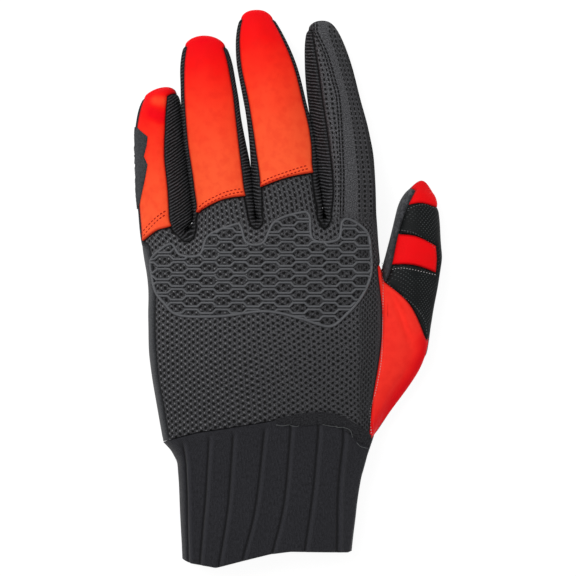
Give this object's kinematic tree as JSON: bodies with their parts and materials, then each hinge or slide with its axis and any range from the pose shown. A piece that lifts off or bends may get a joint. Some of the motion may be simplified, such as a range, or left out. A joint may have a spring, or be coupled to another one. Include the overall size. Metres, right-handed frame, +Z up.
{
  "type": "motorcycle glove",
  "caption": "Left-hand short textile motorcycle glove lying palm down, with a pierced rubber knuckle guard, knit sides between the fingers and an open ribbed cuff.",
  "frame": {"origin": "the middle of the glove's footprint, on the surface that its palm lies on", "axes": "+X across the hand to the thumb, +Y to the fingertips, +Z up through the back of the hand"},
  "size_m": [0.1322, 0.2398, 0.032],
  "materials": {
    "suede": "matt synthetic suede, fine nap",
    "back_mesh": "charcoal spacer mesh, staggered round holes over fine ribs",
    "red_stretch": "matt brushed stretch cloth",
    "black_knit": "ribbed elastic knit, matt black",
    "perforated": "black cloth with rows of tiny holes",
    "guard_rubber": "moulded soft rubber, satin",
    "rib_knit": "thick ribbed knit, matt near-black"
  },
  "bodies": {
    "root": {"palm": "suede", "back_panel": "back_mesh", "finger_back_little": "red_stretch", "finger_back_ring": "red_stretch", "finger_back_middle": "red_stretch", "fourchette_little_ring": "black_knit", "fourchette_ring_middle": "black_knit", "fourchette_middle_index": "black_knit", "knuckle_guard": "guard_rubber", "thumb_gusset": "red_stretch", "thumb_panel": "perforated", "thumb_band": "red_stretch", "thumb_tip": "red_stretch", "cuff": "rib_knit"}
  },
  "joints": []
}
